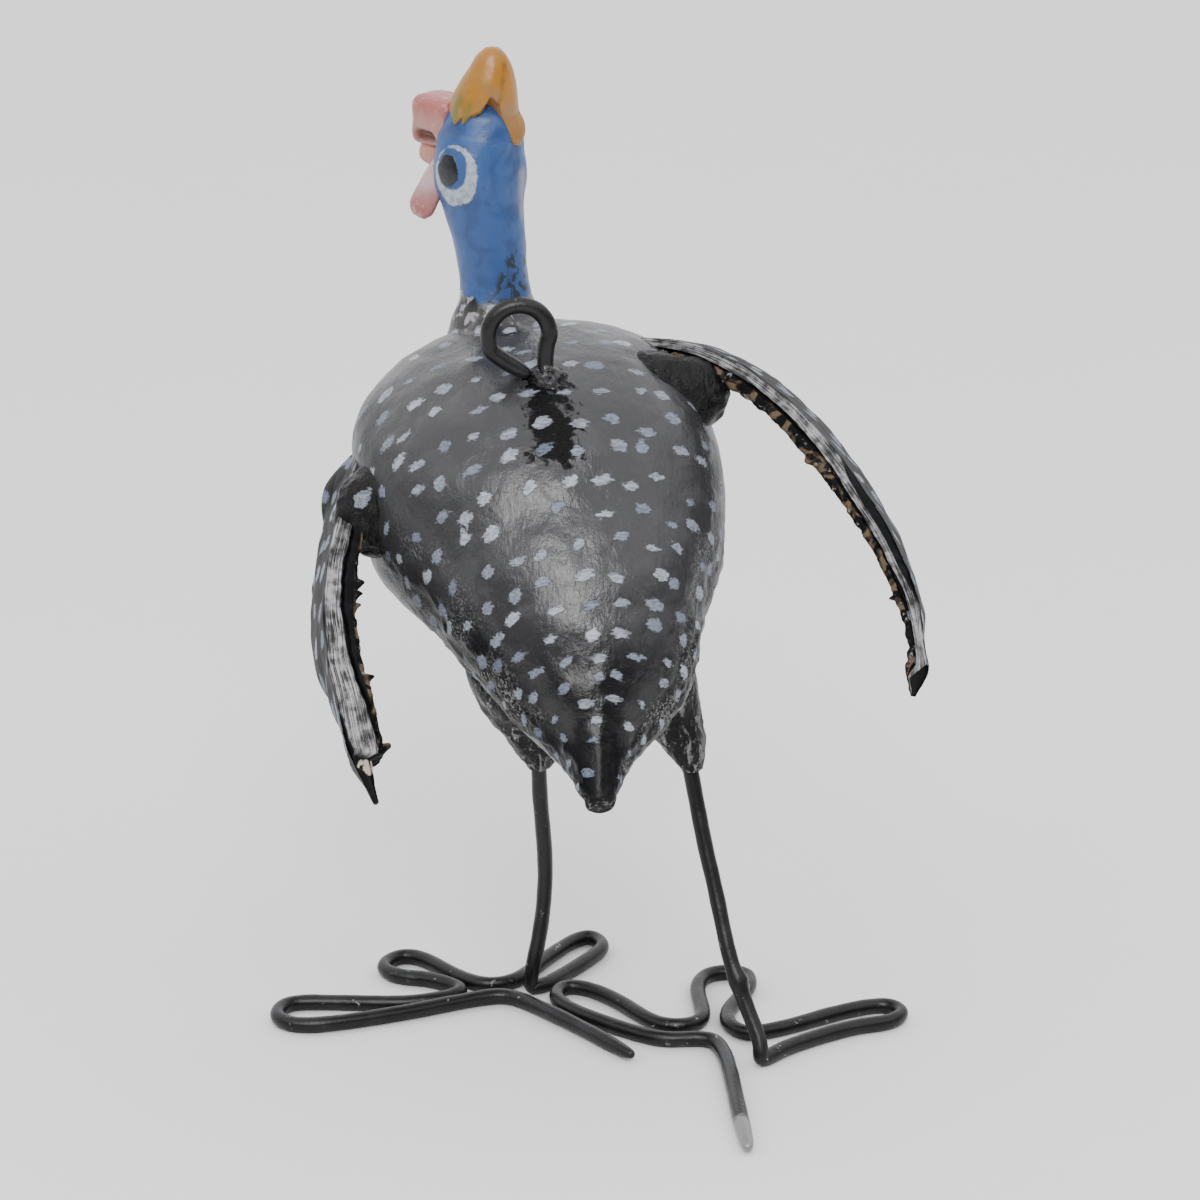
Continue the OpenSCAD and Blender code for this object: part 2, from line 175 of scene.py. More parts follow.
def carried(path, start):
    """One sideways vector per point of a path, carried along without twist."""
    vectors, v = [], np.asarray(start, float)
    for t in tangents(path):
        v = unit(v - np.dot(v, t) * t)
        vectors.append(v)
    return np.array(vectors)


def ring_angles(sides):
    return np.arange(sides) * 2 * math.pi / sides


def round_off(values, power):
    """Turns cosines or sines into those of a squarer or a sharper ring."""
    return np.sign(values) * np.abs(values) ** (2 / power)


def rings(centres, across, up, half_w, half_h, power, sides):
    """A grid of points: one ring per centre, its half sizes along across and up."""
    a = ring_angles(sides)
    c = round_off(np.cos(a)[None, :], np.broadcast_to(power, len(centres))[:, None])
    s = round_off(np.sin(a)[None, :], np.broadcast_to(power, len(centres))[:, None])
    wide = across[:, None, :] * (half_w[:, None] * c)[..., None]
    high = up[:, None, :] * (half_h[:, None] * s)[..., None]
    return centres[:, None, :] + wide + high


def normals_of(grid):
    around = np.roll(grid, -1, axis=1) - np.roll(grid, 1, axis=1)
    n = unit(np.cross(around, np.gradient(grid, axis=0)))
    outwards = grid - grid.mean(axis=1, keepdims=True)
    return n * np.sign((n * outwards).sum())


def raised(grid, height):
    return grid + normals_of(grid) * height[..., None]


def lump_grid(stations, steps=24, sides=96, flat=1.0, across=(1, 0, 0)):
    path = smooth(stations, steps)
    axis = path[:, :3]
    side = carried(axis, across)
    up = np.cross(tangents(axis), side)
    return rings(axis, side, up, path[:, 3], path[:, 3] * flat, 2, sides)


def near_line(points, a, b):
    """Distance from each point to the straight line between two points."""
    a, b = np.asarray(a, float), np.asarray(b, float)
    t = np.clip(((points - a) @ (b - a)) / max((b - a) @ (b - a), 1e-9), 0, 1)
    return np.linalg.norm(points - a - t[..., None] * (b - a), axis=-1)


def inside_oval(x, y, half_x, half_y):
    """How far inside an oval a place lies; negative outside it."""
    return (1 - np.hypot(x / half_x, y / half_y)) * min(half_x, half_y)


# ---------------------------------------------------------------- meshes


def volume(points, faces):
    total = 0.0
    for face in faces:
        for i in range(1, len(face) - 1):
            total += np.dot(points[face[0]], np.cross(points[face[i]], points[face[i + 1]]))
    return total


def grid_faces(count, sides):
    quads = []
    for i in range(count - 1):
        for k in range(sides):
            m = (k + 1) % sides
            quads.append((i * sides + k, i * sides + m, (i + 1) * sides + m, (i + 1) * sides + k))
    start, end = count * sides, count * sides + 1
    last = (count - 1) * sides
    caps = [(start, (k + 1) % sides, k) for k in range(sides)]
    caps += [(end, last + k, last + (k + 1) % sides) for k in range(sides)]
    return quads + caps


def stroke_map(mesh, grid):
    """A UV map in millimetres: round the piece, then along it."""
    count, sides = grid.shape[:2]
    round_step = np.linalg.norm(np.roll(grid, -1, axis=1) - grid, axis=2).sum(axis=1).mean() / sides
    along = np.concatenate([[0], np.cumsum(np.linalg.norm(np.diff(grid.mean(axis=1), axis=0), axis=1))])
    layer = mesh.uv_layers.new(name="strokes")
    for face in mesh.polygons:
        ids = [mesh.loops[i].vertex_index for i in face.loop_indices]
        columns = [v % sides for v in ids]
        wraps = max(columns) - min(columns) > sides / 2
        for i, v, column in zip(face.loop_indices, ids, columns):
            column += sides if wraps and column < sides / 2 else 0
            layer.data[i].uv = (column * round_step, along[min(v // sides, count - 1)])


def add_marks(mesh, marks, extra=2):
    for name, values in (marks or {}).items():
        flat = np.asarray(values, float).reshape(-1)
        flat = np.concatenate([flat, np.full(extra, flat[-1])]) if extra else flat
        mesh.attributes.new(name, "FLOAT", "POINT").data.foreach_set("value", flat.astype(np.float32))


def settle(piece, slot, material, *replaced):
    """Puts a finished piece in the figure."""
    piece.data.materials.clear()
    piece.data.materials.append(material)
    piece.data.polygons.foreach_set("use_smooth", [True] * len(piece.data.polygons))
    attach(piece, "root")
    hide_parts(*replaced)
    return piece


def piece_from(name, grid, marks=None):
    """A closed mesh through the rings of a grid."""
    count, sides = grid.shape[:2]
    ends = np.stack([grid[0].mean(axis=0), grid[-1].mean(axis=0)])
    points = (np.vstack([grid.reshape(-1, 3), ends]) + SHIFT) * MM
    faces = grid_faces(count, sides)
    if volume(points, faces) < 0:
        faces = [tuple(reversed(f)) for f in faces]
    mesh = bpy.data.meshes.new(name)
    mesh.from_pydata(points.tolist(), [], faces)
    stroke_map(mesh, grid)
    add_marks(mesh, marks)
    piece = bpy.data.objects.new(name, mesh)
    bpy.context.scene.collection.objects.link(piece)
    return piece


def tree_of(grid):
    faces = grid_faces(*grid.shape[:2])
    ends = np.stack([grid[0].mean(axis=0), grid[-1].mean(axis=0)])
    return BVHTree.FromPolygons(np.vstack([grid.reshape(-1, 3), ends]).tolist(), faces)


def gap_to(tree, grid):
    """Distance from each point of a grid to another form's surface."""
    return np.array([tree.find_nearest(p)[3] for p in grid.reshape(-1, 3).tolist()]).reshape(grid.shape[:2])


# ---------------------------------------------------------------- painted dabs


class Dabs:
    """Painted oval dabs on a surface, each with its own size, turn and tone."""

    def __init__(self, centres, across, along, half_w, half_h, seed):
        rng = np.random.default_rng(seed)
        count = len(centres)
        turn = rng.normal(0, 0.16, count)[:, None]
        self.centres = np.asarray(centres)
        self.wide = np.asarray(across) * np.cos(turn) + np.asarray(along) * np.sin(turn)
        self.high = np.asarray(along) * np.cos(turn) - np.asarray(across) * np.sin(turn)
        self.half_w = half_w * rng.uniform(0.72, 1.2, count)
        self.half_h = half_h * rng.uniform(0.7, 1.25, count)
        self.tones = rng.beta(1.6, 2.2, count)

    def marks(self, grid):
        """For each point: its depth inside the nearest dab, and that dab's tone."""
        points = grid.reshape(-1, 3)
        tree = KDTree(len(self.centres))
        for i, centre in enumerate(self.centres.tolist()):
            tree.insert(centre, i)
        tree.balance()
        near = np.array([tree.find(p)[1] for p in points.tolist()])
        away = points - self.centres[near]
        u = np.abs((away * self.wide[near]).sum(axis=1) / self.half_w[near])
        v = np.abs((away * self.high[near]).sum(axis=1) / self.half_h[near])
        ragged = 0.16 * noise(points, 1.1, 3)
        depth = (1 - np.hypot(u, v) + ragged) * self.half_h[near]
        return {
            "dab": depth.reshape(grid.shape[:2]),
            "tone": self.tones[near].reshape(grid.shape[:2]),
        }


def dab_rows(grid, first_ring, row_gap, column_gap, middle, seed, drop=0.05, scatter=0.16):
    """Places and sizes for dabs in rows round a grid; they shrink where the grid is narrow."""
    rng = np.random.default_rng(seed)
    along = np.concatenate([[0], np.cumsum(np.linalg.norm(np.diff(grid[:, middle], axis=0), axis=1))])
    widest = np.ptp(grid[:, :, 0], axis=1).max()
    centres, across, lengthwise, sizes = [], [], [], []
    for row, place in enumerate(np.arange(along[first_ring], along[-1] - 1.2, row_gap)):
        i = int(np.searchsorted(along, place))
        ring = np.roll(grid[i], -middle, axis=0)
        arc = np.concatenate([[0], np.cumsum(np.linalg.norm(np.diff(ring, axis=0), axis=1))])
        columns = max(1, int(arc[-1] / column_gap))
        for column in range(columns):
            if rng.random() < drop:
                continue
            spot = (column + 0.18 * (row % 2) + rng.normal(0, scatter)) % columns
            k = (int(np.searchsorted(arc, spot * arc[-1] / columns)) + middle) % grid.shape[1]
            j = int(np.clip(i + rng.normal(0, 0.9), 1, len(grid) - 2))
            centres.append(grid[j, k])
            across.append(unit(grid[j, (k + 1) % grid.shape[1]] - grid[j, k - 1]))
            lengthwise.append(unit(grid[j + 1, k] - grid[j - 1, k]))
            sizes.append(0.6 + 0.4 * min(1, 1.5 * np.ptp(ring[:, 0]) / widest))
    return np.array(centres), np.array(across), np.array(lengthwise), np.array(sizes)


# ---------------------------------------------------------------- materials


class Paint:
    """A material being wired up: each method adds a node and gives its output."""

    def __init__(self, name):
        self.material = bpy.data.materials.new(name)
        self.material.use_nodes = True
        self.tree = self.material.node_tree
        self.shader = self.tree.nodes["Principled BSDF"]
        self.coords = self.add("ShaderNodeTexCoord").outputs

    def add(self, kind, inputs=None, **settings):
        node = self.tree.nodes.new(kind)
        for key, value in settings.items():
            setattr(node, key, value)
        for key, value in (inputs or {}).items():
            self.feed(node.inputs[key], value)
        return node

    def feed(self, socket, value):
        if isinstance(value, bpy.types.NodeSocket):
            self.tree.links.new(value, socket)
        else:
            socket.default_value = value

    def noise(self, size, detail=3.0, stretch=(1, 1, 1), strokes=False, bend=0.0):
        """Noise with features of this size in millimetres, drawn out by stretch."""
        per_unit = 1.0 if strokes else 1000.0
        source = self.coords["UV"] if strokes else self.coords["Object"]
        scale = [per_unit / (size * s) for s in stretch]
        placed = self.add("ShaderNodeMapping", {"Vector": source, "Scale": scale}).outputs[0]
        settings = {"Vector": placed, "Scale": 1.0, "Detail": detail, "Distortion": bend}
        return self.add("ShaderNodeTexNoise", settings).outputs[0]

    def fade(self, value, low, high):
        node = self.add("ShaderNodeMapRange", interpolation_type="SMOOTHSTEP")
        for key, given in (("Value", value), ("From Min", low), ("From Max", high)):
            self.feed(node.inputs[key], given)
        return node.outputs[0]

    def calc(self, operation, a, b=0.0):
        node = self.add("ShaderNodeMath", operation=operation)
        self.feed(node.inputs[0], a)
        self.feed(node.inputs[1], b)
        return node.outputs[0]

    def blend(self, factor, a, b):
        node = self.add("ShaderNodeMix", data_type="RGBA")
        for index, given in ((0, factor), (6, a), (7, b)):
            self.feed(node.inputs[index], given)
        return node.outputs[2]

    def ease(self, factor, a, b):
        """A number that goes from a to b with the factor."""
        node = self.add("ShaderNodeMix", data_type="FLOAT")
        for index, given in ((0, factor), (2, a), (3, b)):
            self.feed(node.inputs[index], given)
        return node.outputs[0]

    def mark(self, name):
        return self.add("ShaderNodeAttribute", attribute_name=name).outputs["Fac"]

    def height(self):
        """The height above the ground, in millimetres."""
        split = self.add("ShaderNodeSeparateXYZ", {"Vector": self.coords["Object"]})
        return self.calc("MULTIPLY", split.outputs["Z"], 1000.0)

    def bump(self, height, depth, under=None):
        node = self.add("ShaderNodeBump", {"Strength": 1.0, "Distance": depth * MM, "Height": height})
        if under:
            self.feed(node.inputs["Normal"], under)
        return node.outputs[0]

    def done(self, colour, roughness, normal, **fixed):
        """Wires up the shader; extra settings are named like its inputs."""
        self.feed(self.shader.inputs["Base Color"], colour)
        self.feed(self.shader.inputs["Roughness"], roughness)
        self.feed(self.shader.inputs["Normal"], normal)
        for key, value in fixed.items():
            self.feed(self.shader.inputs[key.replace("_", " ")], value)
        return self.material


BLACK = (0.0045, 0.0045, 0.0052, 1)
WORN_BLACK = (0.011, 0.011, 0.012, 1)
# Painted sheen: grey laid over the black of the upper body, standing in for light reflected by the gloss paint
PAINTED_SHEEN_GREY = (0.043, 0.043, 0.046, 1)
DAB_DIM = (0.13, 0.155, 0.22, 1)
DAB_BRIGHT = (0.46, 0.49, 0.54, 1)
BRUSHED_GREY = (0.20, 0.195, 0.19, 1)
PALE_GREY = (0.40, 0.39, 0.385, 1)
TAN = (0.13, 0.092, 0.058, 1)
BLUE = (0.024, 0.080, 0.25, 1)
DEEP_BLUE = (0.014, 0.050, 0.165, 1)
PALE_BLUE = (0.060, 0.145, 0.35, 1)
# Painted highlight: pale grey for a streak down the right edge of the neck and head, standing in for caught light
PAINTED_EDGE_HIGHLIGHT = (0.32, 0.31, 0.34, 1)


def with_dabs(paint, under):
    """Lays the streaky off-white dabs over a colour; gives the colour and the dabs' mask."""
    frayed = paint.calc("SUBTRACT", paint.noise(0.42, 5, (2.6, 1, 1)), 0.5)
    edge = paint.calc("ADD", paint.mark("dab"), paint.calc("MULTIPLY", frayed, 1.3))
    mask = paint.fade(edge, -0.08, 0.16)
    streaks = paint.fade(paint.noise(0.30, 4, (5, 1, 1), bend=0.4), 0.36, 0.60)
    cover = paint.calc("MULTIPLY", mask, paint.ease(streaks, 0.46, 0.96))
    tone = paint.blend(paint.mark("tone"), DAB_DIM, DAB_BRIGHT)
    return paint.blend(cover, under, tone), mask


def black_enamel(name, dabs=True):
    """Glossy black brush paint over lumpy pulp, with rough dry patches and a painted grey sheen on the upper body."""
    paint = Paint(name)
    worn = paint.fade(paint.noise(9, 5, bend=1.2), 0.50, 0.68)
    rough = paint.calc("MAXIMUM", paint.mark("rough"), paint.calc("MULTIPLY", worn, 0.35))
    grain = paint.noise(0.42, 6, bend=0.8)
    rubbed = paint.calc("MULTIPLY", paint.mark("rough"), paint.fade(grain, 0.50, 0.62))
    colour = paint.blend(paint.fade(paint.noise(3.5, 5, bend=1.5), 0.45, 0.75), BLACK, WORN_BLACK)
    # Painted sheen: higher up the body the black is greyed, standing in for light reflected off the gloss paint
    colour = paint.blend(paint.calc("MULTIPLY", paint.mark("top_sheen"), paint.ease(worn, 0.75, 1.0)), colour, PAINTED_SHEEN_GREY)
    colour = paint.blend(rubbed, colour, BRUSHED_GREY)
    torn = paint.calc("MULTIPLY", paint.noise(1.8, 6, bend=0.6), 7)
    smear = paint.fade(paint.calc("ADD", paint.mark("smear"), torn), 3.3, 4.3)
    colour = paint.blend(smear, colour, (0.0015, 0.0015, 0.0018, 1))
    mask = None
    if dabs:
        colour, mask = with_dabs(paint, colour)
    pulp = paint.bump(paint.noise(2.6, 4), 0.17)
    strokes = paint.bump(paint.noise(0.7, 5, (1, 2.2, 2.2), bend=0.6), 0.09, pulp)
    skin = paint.bump(paint.calc("MULTIPLY", grain, paint.ease(rough, 0.10, 1.0)), 0.20, strokes)
    skin = paint.bump(paint.calc("MULTIPLY", smear, paint.noise(0.8, 5)), 0.5, skin)
    sheen = paint.ease(rough, 0.26, 0.5)
    sheen = paint.ease(smear, sheen, 0.4)
    if mask:
        skin = paint.bump(mask, 0.08, skin)
        sheen = paint.ease(mask, sheen, 0.48)
    paint.feed(paint.shader.inputs["Specular IOR Level"], paint.ease(paint.calc("MAXIMUM", smear, paint.mark("edge")), 0.42, 0.1))
    return paint.done(colour, sheen, skin)


def wing_paint(name):
    """Black faces with dabs, a streaky grey painted highlight on the rim, and a ragged tan and black lip."""
    paint = Paint(name)
    colour = paint.blend(paint.fade(paint.noise(3, 5, bend=1.2), 0.45, 0.75), BLACK, WORN_BLACK)
    colour, mask = with_dabs(paint, colour)
    streaks = paint.noise(0.8, 7, (1, 9, 1), strokes=True, bend=0.9)
    patches = paint.noise(4, 4, bend=0.8)
    highlight_streaks = paint.fade(paint.calc("ADD", streaks, paint.calc("MULTIPLY", patches, 0.8)), 0.80, 0.98)
    mixed = paint.calc("ADD", paint.calc("MULTIPLY", streaks, 0.5), paint.calc("MULTIPLY", paint.noise(1.6, 6), 0.5))
    # Painted highlight: streaky grey on the rounded rim, standing in for the light the glossy rim catches
    rim_highlight_grey = paint.blend(paint.fade(mixed, 0.42, 0.58), (0.09, 0.088, 0.086, 1), (0.46, 0.45, 0.46, 1))
    rim_highlight_cover = paint.calc("MULTIPLY", paint.mark("rim_highlight"), paint.ease(highlight_streaks, 0.35, 1.0))
    colour = paint.blend(rim_highlight_cover, colour, rim_highlight_grey)
    tan = paint.fade(paint.noise(2.6, 6, bend=0.6), 0.47, 0.58)
    colour = paint.blend(paint.calc("MULTIPLY", paint.mark("lip"), tan), colour, TAN)
    frayed = paint.fade(paint.noise(0.9, 6), 0.60, 0.70)
    colour = paint.blend(paint.calc("MULTIPLY", paint.mark("lip"), frayed), colour, BRUSHED_GREY)
    patch = paint.fade(paint.calc("ADD", paint.mark("patch"), paint.noise(0.8, 3)), 0.6, 0.85)
    colour = paint.blend(patch, colour, (0.45, 0.40, 0.32, 1))
    pulp = paint.bump(paint.noise(2.2, 4), 0.2)
    skin = paint.bump(paint.calc("MULTIPLY", streaks, paint.mark("rim_highlight")), 0.22, pulp)
    skin = paint.bump(paint.calc("MULTIPLY", paint.noise(0.5, 6), paint.mark("lip")), 0.35, skin)
    skin = paint.bump(mask, 0.08, skin)
    sheen = paint.ease(paint.calc("MAXIMUM", paint.mark("rim_highlight"), paint.mark("lip")), 0.5, 0.65)
    return paint.done(colour, sheen, skin, Specular_IOR_Level=0.06)


def pulp_paint(name, grey_amount):
    """Rough pulp with black paint in the hollows and grey brushed over the high parts."""
    paint = Paint(name)
    lumps = paint.noise(1.3, 6, (1, 1, 2.4), bend=1.3)
    grain = paint.noise(0.4, 5)
    high = paint.fade(paint.calc("ADD", lumps, paint.calc("MULTIPLY", grain, 0.3)), 0.74 - grey_amount, 0.92 - grey_amount)
    colour = paint.blend(high, BLACK, BRUSHED_GREY)
    pale = paint.fade(paint.noise(3.2, 4), 0.58, 0.66)
    colour = paint.blend(paint.calc("MULTIPLY", paint.calc("MULTIPLY", pale, high), 0.8), colour, PALE_GREY)
    colour, mask = with_dabs(paint, colour)
    skin = paint.bump(lumps, 0.55)
    skin = paint.bump(grain, 0.18, skin)
    return paint.done(colour, paint.ease(high, 0.36, 0.62), skin, Specular_IOR_Level=0.18)


def blue_colour(paint):
    soft = paint.fade(paint.noise(4.5, 4, bend=0.8), 0.40, 0.68)
    colour = paint.blend(soft, BLUE, DEEP_BLUE)
    pale = paint.fade(paint.noise(5.5, 3, (1, 1, 1.8)), 0.56, 0.80)
    colour = paint.blend(pale, colour, PALE_BLUE)
    # Painted highlight: a pale streak laid along the right edge of the neck and head
    return paint.blend(paint.fade(paint.mark("edge_highlight"), 0.0, 2.6), colour, PAINTED_EDGE_HIGHLIGHT)


def blue_skin(paint):
    pulp = paint.bump(paint.noise(2.4, 3), 0.16)
    return paint.bump(paint.noise(0.7, 5, (1.6, 1, 1), bend=0.6), 0.05, pulp)


def neck_paint(name):
    """Blue with painted eyes and a painted highlight down the right edge, running into the body's black with pale dabs
    and brush marks.
    """
    paint = Paint(name)
    wobble = paint.calc("MULTIPLY", paint.calc("SUBTRACT", paint.noise(1.1, 3), 0.5), 0.9)
    ring = paint.fade(paint.calc("ADD", paint.mark("ring"), wobble), -0.10, 0.22)
    thin = paint.ease(paint.fade(paint.noise(0.9, 4, bend=0.5), 0.34, 0.60), 0.55, 0.97)
    colour = paint.blend(paint.calc("MULTIPLY", ring, thin), blue_colour(paint), (0.42, 0.46, 0.50, 1))
    pupil = paint.fade(paint.calc("ADD", paint.mark("pupil"), wobble), -0.06, 0.14)
    colour = paint.blend(pupil, colour, (0.006, 0.009, 0.011, 1))
    scuff = paint.fade(paint.noise(1.5, 6, (1, 1, 1.6), bend=0.7), 0.50, 0.57)
    scuff = paint.calc("MULTIPLY", scuff, paint.fade(paint.mark("scuff"), 0.0, 1.2))
    colour = paint.blend(scuff, colour, (0.012, 0.02, 0.03, 1))
    wavy = paint.calc("ADD", paint.height(), paint.calc("MULTIPLY", paint.noise(2.4, 4), 4.5))
    below = paint.fade(wavy, 115.9, 115.2)
    mottled = paint.calc("MULTIPLY", paint.fade(paint.noise(2.2, 5), 0.47, 0.66), paint.fade(wavy, 106, 112))
    black = paint.blend(mottled, WORN_BLACK, (0.10, 0.095, 0.10, 1))
    pale = paint.fade(paint.noise(1.9, 5, bend=0.6), 0.56, 0.63)
    near_blue = paint.fade(wavy, 109.5, 113)
    black = paint.blend(paint.calc("MULTIPLY", pale, near_blue), black, (0.30, 0.28, 0.30, 1))
    black, mask = with_dabs(paint, black)
    colour = paint.blend(below, colour, black)
    skin = paint.bump(paint.calc("MAXIMUM", ring, pupil), 0.10, blue_skin(paint))
    return paint.done(colour, paint.ease(paint.calc("MAXIMUM", below, pupil), 0.42, 0.28), skin)


def casque_paint(name):
    """Ochre over tan, with a brown line down the back and green smears at the front edge."""
    paint = Paint(name)
    gold = (0.36, 0.150, 0.008, 1)
    tan = (0.29, 0.145, 0.045, 1)
    patches = paint.fade(paint.noise(4.2, 3, (1, 1, 1.8)), 0.44, 0.62)
    low = paint.fade(paint.calc("ADD", paint.height(), paint.calc("MULTIPLY", paint.noise(3, 3), 4)), 150.5, 146.5)
    colour = paint.blend(paint.calc("MULTIPLY", patches, low), gold, tan)
    colour = paint.blend(paint.fade(paint.height(), 140.8, 137.5), colour, (0.26, 0.12, 0.022, 1))
    wobble = paint.calc("MULTIPLY", paint.noise(0.9, 5, (1, 1, 2)), 1.6)
    line = paint.fade(paint.calc("ADD", paint.mark("line"), wobble), 0.7, 1.5)
    colour = paint.blend(paint.calc("MULTIPLY", line, 0.8), colour, (0.20, 0.075, 0.006, 1))
    green = paint.fade(paint.calc("ADD", paint.mark("green"), wobble), 0.8, 2.2)
    colour = paint.blend(paint.calc("MULTIPLY", green, 0.85), colour, (0.12, 0.135, 0.014, 1))
    skin = paint.bump(paint.noise(1.8, 4), 0.14)
    return paint.done(colour, 0.36, paint.bump(paint.noise(0.6, 4, (1, 1, 2)), 0.05, skin))


def pink_paint(name, main, deep, low, high):
    """Pink brush paint that deepens between two heights, with painted shade in the corners of the mouth."""
    paint = Paint(name)
    wavy = paint.calc("ADD", paint.height(), paint.calc("MULTIPLY", paint.calc("SUBTRACT", paint.noise(2.2, 4), 0.5), 3))
    colour = paint.blend(paint.fade(wavy, low, high), main, deep)
    colour = paint.blend(paint.fade(paint.noise(1.4, 4), 0.55, 0.72), colour, (0.46, 0.25, 0.21, 1))
    # Painted shade: the corners of the mouth are darkened to a deep red-brown, standing in for the shade in the hollow
    colour = paint.blend(paint.fade(paint.mark("mouth"), 0.2, 1.4), colour, (0.11, 0.022, 0.010, 1))
    skin = paint.bump(paint.noise(1.2, 4), 0.14)
    return paint.done(colour, 0.38, skin)


def wire_paint(name):
    """Black paint on wire, chipped to pale metal here and there, bare at the mark."""
    paint = Paint(name)
    chips = paint.fade(paint.noise(1.5, 6, bend=0.8), 0.655, 0.70)
    zones = paint.fade(paint.noise(14, 2), 0.44, 0.60)
    bare = paint.fade(paint.calc("ADD", paint.mark("bare"), paint.calc("MULTIPLY", paint.noise(1.6, 5), 5)), 1.8, 3.4)
    shown = paint.calc("MAXIMUM", paint.calc("MULTIPLY", chips, zones), bare)
    dust = paint.fade(paint.noise(5, 5), 0.42, 0.8)
    colour = paint.blend(dust, (0.005, 0.005, 0.0055, 1), (0.014, 0.014, 0.015, 1))
    colour = paint.blend(shown, colour, (0.26, 0.26, 0.26, 1))
    skin = paint.bump(paint.noise(3.2, 3), 0.12)
    skin = paint.bump(paint.noise(0.5, 5), 0.05, skin)
    paint.feed(paint.shader.inputs["Metallic"], paint.calc("MULTIPLY", bare, 0.7))
    return paint.done(colour, paint.ease(shown, 0.36, 0.46), skin, Specular_IOR_Level=0.3)


def glue_paint(name):
    paint = Paint(name)
    colour = paint.blend(paint.fade(paint.noise(1.0, 4), 0.5, 0.8), (0.006, 0.006, 0.007, 1), (0.03, 0.03, 0.03, 1))
    return paint.done(colour, 0.2, paint.bump(paint.noise(1.1, 5), 0.4))


def plain_paper(name):
    paint = Paint(name)
    fibres = paint.noise(0.5, 6, (5, 1, 1), bend=0.8)
    colour = paint.blend(fibres, (0.55, 0.51, 0.43, 1), (0.78, 0.74, 0.66, 1))
    return paint.done(colour, 0.9, paint.bump(fibres, 0.2))


def bare_wire(name):
    paint = Paint(name)
    drawn = paint.noise(0.4, 4, (1, 1, 12))
    colour = paint.blend(drawn, (0.38, 0.38, 0.39, 1), (0.60, 0.60, 0.61, 1))
    return paint.done(colour, paint.ease(drawn, 0.28, 0.45), paint.bump(drawn, 0.03), Metallic=1.0)


# ---------------------------------------------------------------- body


def leaned(points):
    """Leans the upright body towards the bird's left."""
    x, z = points[..., 0], points[..., 2] - LEAN_POINT[1]
    return np.stack([
        LEAN_POINT[0] + x * math.cos(LEAN) + z * math.sin(LEAN),
        points[..., 1],
        LEAN_POINT[1] - x * math.sin(LEAN) + z * math.cos(LEAN),
    ], axis=-1)


def body_grid(steps=15, sides=336):
    path = smooth(BODY, steps)
    centres = np.stack([path[:, 5], path[:, 0], path[:, 1]], axis=1)
    t = np.gradient(path[:, :2], axis=0)
    t = unit(np.stack([np.zeros(len(t)), t[:, 0], t[:, 1]], axis=1))
    across = np.tile([1.0, 0, 0], (len(path), 1))
    up = np.cross(t, across)
    return leaned(rings(centres, across, up, path[:, 2], path[:, 3], path[:, 4], sides))


def body_relief(grid):
    """Furrows down the lower back, a groove down the tail, soft lumps, rough flanks, and the mask of a painted sheen
    that greys the upper body.
    """
    count, sides = grid.shape[:2]
    part = np.linspace(0, 1, count)[:, None]
    a = ring_angles(sides)[None, :]
    sideways, back = np.cos(a), np.clip(np.sin(a), 0, 1)
    window = step(part, 0.40, 0.52) * (1 - step(part, 0.70, 0.82)) * step(back, 0.2, 0.6)
    wander = 0.05 * noise(grid, 9, 1)
    furrows = np.cos(2 * math.pi * (sideways + 0.33 + wander) / 0.36) * 0.55 * window
    tail = step(part, 0.72, 0.84) * (1 - step(part, 0.94, 1.0)) * step(back, 0.1, 0.7)
    groove = tail * (0.3 * np.exp(-(((np.abs(sideways) - 0.5) / 0.3) ** 2)) - 0.35 * np.exp(-((sideways / 0.2) ** 2)))
    lumps = 0.5 * noise(grid, 13, 2) + 0.26 * noise(grid, 5.5, 3) + 0.09 * noise(grid, 2.2, 4)
    flank = step(np.abs(sideways), 0.72, 0.97) * step(part, 0.40, 0.55) * (np.sin(a) > -0.7)
    torn = flank * (0.28 * noise(grid, 1.6, 5) + 0.16 * noise(grid, 0.8, 6))
    rough = np.clip(flank * (0.4 + 1.1 * noise(grid, 4, 7)), 0, 1)
    edge = np.maximum(step(np.abs(sideways), 0.72, 0.97), step(part, 0.80, 0.90))
    # Painted sheen mask: rises with height up the body, to grey the black where light would be reflected
    top_sheen = step(grid[..., 2] + 4 * noise(grid, 8, 6), 66, 82)
    return raised(grid, furrows + groove + lumps + torn), {"rough": rough, "edge": edge, "top_sheen": top_sheen}


body, body_marks = body_relief(body_grid())
body_tree = tree_of(body)
back_column = body.shape[1] // 4
*body_rows, body_sizes = dab_rows(body, 8, 3.95, 5.1, back_column, seed=11)
body_dabs = Dabs(*body_rows, 1.5 * body_sizes, 0.88 * body_sizes, seed=12)
smear = 3.2 - 0.8 * near_line(body, (6.4, -9.6, 104.8), (6.4, 1.4, 99))
body_marks.update(smear=np.clip(smear, -4, 4), **body_dabs.marks(body))
settle(piece_from("body_pulp", body, body_marks), "black_pulp", black_enamel("body_enamel"), "body_skin")

# ---------------------------------------------------------------- neck and head


NECK_STEPS = 20


def neck_grid():
    """The neck and head in one skin, with its foot spread over the right shoulder."""
    grid = lump_grid(NECK + HEAD[1:], NECK_STEPS, 168)
    axis = grid.mean(axis=1, keepdims=True)
    away = unit(grid - axis)
    low = step(-grid[..., 2], -111.5, -101)
    skirt = 7.5 * low * step(-away[..., 0], -0.5, 0.9) * step(away[..., 1], -0.9, 0.3)
    grid = grid + away * skirt[..., None]
    _, left, up = head_coords(grid)
    cheeks = 0.5 * np.exp(-((np.abs(left) - 6.6) ** 2 + (up + 2.4) ** 2) / 14)
    return raised(grid, cheeks + 0.28 * noise(grid, 6, 8) + 0.10 * noise(grid, 2.4, 9))


